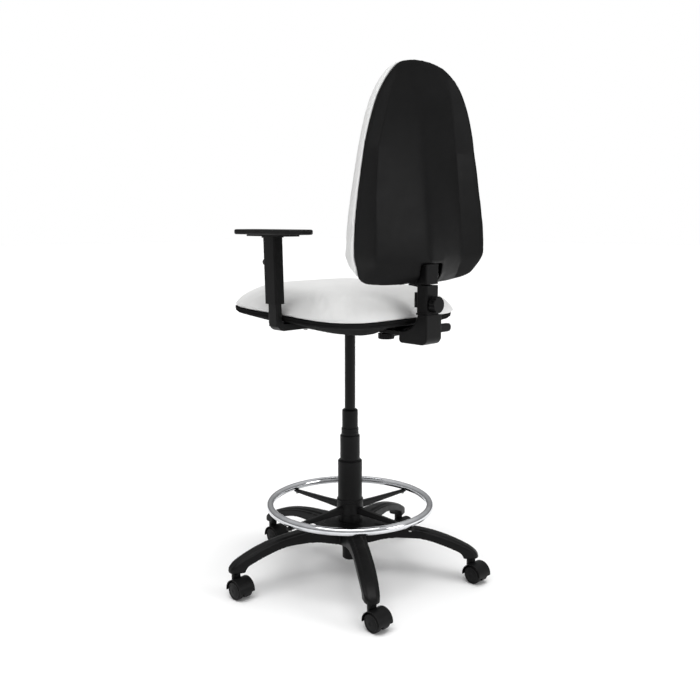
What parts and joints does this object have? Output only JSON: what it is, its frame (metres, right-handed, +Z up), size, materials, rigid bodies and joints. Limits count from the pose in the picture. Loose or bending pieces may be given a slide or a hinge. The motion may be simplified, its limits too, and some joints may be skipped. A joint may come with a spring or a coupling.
{
  "type": "drafting chair",
  "caption": "High drafting chair with swivel seat on a gas column, round chrome footring, star base on twin casters, tall tapered back and T-shaped adjustable armrests.",
  "frame": {"origin": "on the floor, under the axis of the column", "axes": "+Z up along the column, -Y the way the sitter faces, +X the sitter's left"},
  "size_m": [0.6698, 0.6591, 1.321],
  "materials": {
    "black_nylon": "satin black nylon",
    "black_plastic": "smooth satin black plastic",
    "arm_pad_foam": "soft black moulded foam",
    "black_steel": "black powder coat",
    "chrome": "bright chrome plate",
    "zinc_steel": "zinc plated",
    "upholstery": "smooth white upholstery over foam",
    "plywood": "plain beech plywood"
  },
  "bodies": {
    "base": {"star_base": "black_nylon", "gas_spring_tube": "black_steel", "lower_column_cover": "black_nylon", "middle_column_cover": "black_nylon", "column_collar": "black_nylon", "rod_guide_bush": "black_nylon", "footring_hub": "black_nylon", "footring": "chrome", "footring_screws": "zinc_steel", "caster_stems": "zinc_steel"},
    "rod": {"gas_spring_rod": "black_steel"},
    "seat": {"seat_mechanism": "black_steel", "seat_shell": "black_plastic", "seat_board": "plywood", "seat_board_screws": "zinc_steel", "seat_cushion": "upholstery", "back_pivot_pin": "zinc_steel", "arm_left_bracket": "black_steel", "arm_right_bracket": "black_steel", "arm_bracket_bolts": "zinc_steel"},
    "height_lever_body": {"height_lever": "black_steel", "height_lever_handle": "black_plastic"},
    "tilt_lever_body": {"tilt_lever": "black_steel", "tilt_lever_handle": "black_plastic"},
    "back_arm": {"back_bar": "black_steel", "back_elbow_cover": "black_plastic", "back_stem_cover": "black_plastic"},
    "tension_knob_body": {"tension_knob": "black_plastic"},
    "clamp_knob_body": {"back_clamp_knob": "black_plastic"},
    "backrest": {"back_carriage": "black_plastic", "back_board": "plywood", "back_screws": "zinc_steel", "back_shell": "black_plastic", "back_cushion": "upholstery"},
    "arm_left_rest": {"arm_left_sleeve": "black_plastic", "arm_left_pad": "arm_pad_foam"},
    "arm_left_button_body": {"arm_left_button": "black_plastic"},
    "arm_right_rest": {"arm_right_sleeve": "black_plastic", "arm_right_pad": "arm_pad_foam"},
    "arm_right_button_body": {"arm_right_button": "black_plastic"},
    "caster_front": {"caster_front_housing": "black_nylon", "caster_front_axle": "zinc_steel"},
    "caster_front_left_wheel": {"caster_front_wheel_left": "black_nylon"},
    "caster_front_right_wheel": {"caster_front_wheel_right": "black_nylon"},
    "caster_left_front": {"caster_left_front_housing": "black_nylon", "caster_left_front_axle": "zinc_steel"},
    "caster_left_front_left_wheel": {"caster_left_front_wheel_left": "black_nylon"},
    "caster_left_front_right_wheel": {"caster_left_front_wheel_right": "black_nylon"},
    "caster_left_rear": {"caster_left_rear_housing": "black_nylon", "caster_left_rear_axle": "zinc_steel"},
    "caster_left_rear_left_wheel": {"caster_left_rear_wheel_left": "black_nylon"},
    "caster_left_rear_right_wheel": {"caster_left_rear_wheel_right": "black_nylon"},
    "caster_right_rear": {"caster_right_rear_housing": "black_nylon", "caster_right_rear_axle": "zinc_steel"},
    "caster_right_rear_left_wheel": {"caster_right_rear_wheel_left": "black_nylon"},
    "caster_right_rear_right_wheel": {"caster_right_rear_wheel_right": "black_nylon"},
    "caster_right_front": {"caster_right_front_housing": "black_nylon", "caster_right_front_axle": "zinc_steel"},
    "caster_right_front_left_wheel": {"caster_right_front_wheel_left": "black_nylon"},
    "caster_right_front_right_wheel": {"caster_right_front_wheel_right": "black_nylon"}
  },
  "joints": [
    {"name": "seat_height", "type": "slide", "parent": "base", "child": "rod", "axis": [0, 0, 1], "range_m": [-0.17, 0.03]},
    {"name": "seat_swivel", "type": "hinge", "parent": "rod", "child": "seat", "pos_m": [0, 0, 0.66], "axis": [0, 0, 1], "continuous": true},
    {"name": "height_lever_turn", "type": "hinge", "parent": "seat", "child": "height_lever_body", "pos_m": [-0.1, -0.045, 0.661], "axis": [1, 0, 0], "range_deg": [-15, 0], "stiffness_Nm_per_rad": 1.5},
    {"name": "tilt_lever_turn", "type": "hinge", "parent": "seat", "child": "tilt_lever_body", "pos_m": [-0.1, 0.104, 0.661], "axis": [1, 0, 0], "range_deg": [-20, 20]},
    {"name": "back_tilt", "type": "hinge", "parent": "seat", "child": "back_arm", "pos_m": [0, 0.07, 0.68], "axis": [-1, 0, 0], "range_deg": [0, 12]},
    {"name": "tension_knob_turn", "type": "hinge", "parent": "back_arm", "child": "tension_knob_body", "pos_m": [0, 0.129, 0.665], "axis": [0, 0, 1], "range_deg": [-360, 360]},
    {"name": "clamp_knob_turn", "type": "hinge", "parent": "back_arm", "child": "clamp_knob_body", "pos_m": [0, 0.29, 0.755], "axis": [0, 1, 0], "range_deg": [-180, 180]},
    {"name": "back_height", "type": "slide", "parent": "back_arm", "child": "backrest", "axis": [0, 0, 1], "range_m": [0, 0.06]},
    {"name": "arm_left_height", "type": "slide", "parent": "seat", "child": "arm_left_rest", "axis": [0.0262, 0, 0.9997], "range_m": [-0.012, 0.07]},
    {"name": "arm_left_button_press", "type": "slide", "parent": "arm_left_rest", "child": "arm_left_button_body", "axis": [0, 1, 0], "range_m": [0, 0.002], "stiffness_N_per_m": 800, "springref_m": -0.001},
    {"name": "arm_right_height", "type": "slide", "parent": "seat", "child": "arm_right_rest", "axis": [-0.0262, 0, 0.9997], "range_m": [-0.012, 0.07]},
    {"name": "arm_right_button_press", "type": "slide", "parent": "arm_right_rest", "child": "arm_right_button_body", "axis": [0, 1, 0], "range_m": [0, 0.002], "stiffness_N_per_m": 800, "springref_m": -0.001},
    {"name": "caster_front_swivel", "type": "hinge", "parent": "base", "child": "caster_front", "pos_m": [0, -0.3275, 0.06], "axis": [0, 0, 1], "continuous": true},
    {"name": "caster_front_left_roll", "type": "hinge", "parent": "caster_front", "child": "caster_front_left_wheel", "pos_m": [0, -0.3095, 0.024], "axis": [1, 0, 0], "continuous": true},
    {"name": "caster_front_right_roll", "type": "hinge", "parent": "caster_front", "child": "caster_front_right_wheel", "pos_m": [0, -0.3095, 0.024], "axis": [1, 0, 0], "continuous": true},
    {"name": "caster_left_front_swivel", "type": "hinge", "parent": "base", "child": "caster_left_front", "pos_m": [0.31147, -0.1012, 0.06], "axis": [0, 0, 1], "continuous": true},
    {"name": "caster_left_front_left_roll", "type": "hinge", "parent": "caster_left_front", "child": "caster_left_front_left_wheel", "pos_m": [0.31147, -0.0832, 0.024], "axis": [1, 0, 0], "continuous": true},
    {"name": "caster_left_front_right_roll", "type": "hinge", "parent": "caster_left_front", "child": "caster_left_front_right_wheel", "pos_m": [0.31147, -0.0832, 0.024], "axis": [1, 0, 0], "continuous": true},
    {"name": "caster_left_rear_swivel", "type": "hinge", "parent": "base", "child": "caster_left_rear", "pos_m": [0.1925, 0.26495, 0.06], "axis": [0, 0, 1], "continuous": true},
    {"name": "caster_left_rear_left_roll", "type": "hinge", "parent": "caster_left_rear", "child": "caster_left_rear_left_wheel", "pos_m": [0.1925, 0.28295, 0.024], "axis": [1, 0, 0], "continuous": true},
    {"name": "caster_left_rear_right_roll", "type": "hinge", "parent": "caster_left_rear", "child": "caster_left_rear_right_wheel", "pos_m": [0.1925, 0.28295, 0.024], "axis": [1, 0, 0], "continuous": true},
    {"name": "caster_right_rear_swivel", "type": "hinge", "parent": "base", "child": "caster_right_rear", "pos_m": [-0.1925, 0.26495, 0.06], "axis": [0, 0, 1], "continuous": true},
    {"name": "caster_right_rear_left_roll", "type": "hinge", "parent": "caster_right_rear", "child": "caster_right_rear_left_wheel", "pos_m": [-0.1925, 0.28295, 0.024], "axis": [1, 0, 0], "continuous": true},
    {"name": "caster_right_rear_right_roll", "type": "hinge", "parent": "caster_right_rear", "child": "caster_right_rear_right_wheel", "pos_m": [-0.1925, 0.28295, 0.024], "axis": [1, 0, 0], "continuous": true},
    {"name": "caster_right_front_swivel", "type": "hinge", "parent": "base", "child": "caster_right_front", "pos_m": [-0.31147, -0.1012, 0.06], "axis": [0, 0, 1], "continuous": true},
    {"name": "caster_right_front_left_roll", "type": "hinge", "parent": "caster_right_front", "child": "caster_right_front_left_wheel", "pos_m": [-0.31147, -0.0832, 0.024], "axis": [1, 0, 0], "continuous": true},
    {"name": "caster_right_front_right_roll", "type": "hinge", "parent": "caster_right_front", "child": "caster_right_front_right_wheel", "pos_m": [-0.31147, -0.0832, 0.024], "axis": [1, 0, 0], "continuous": true}
  ]
}
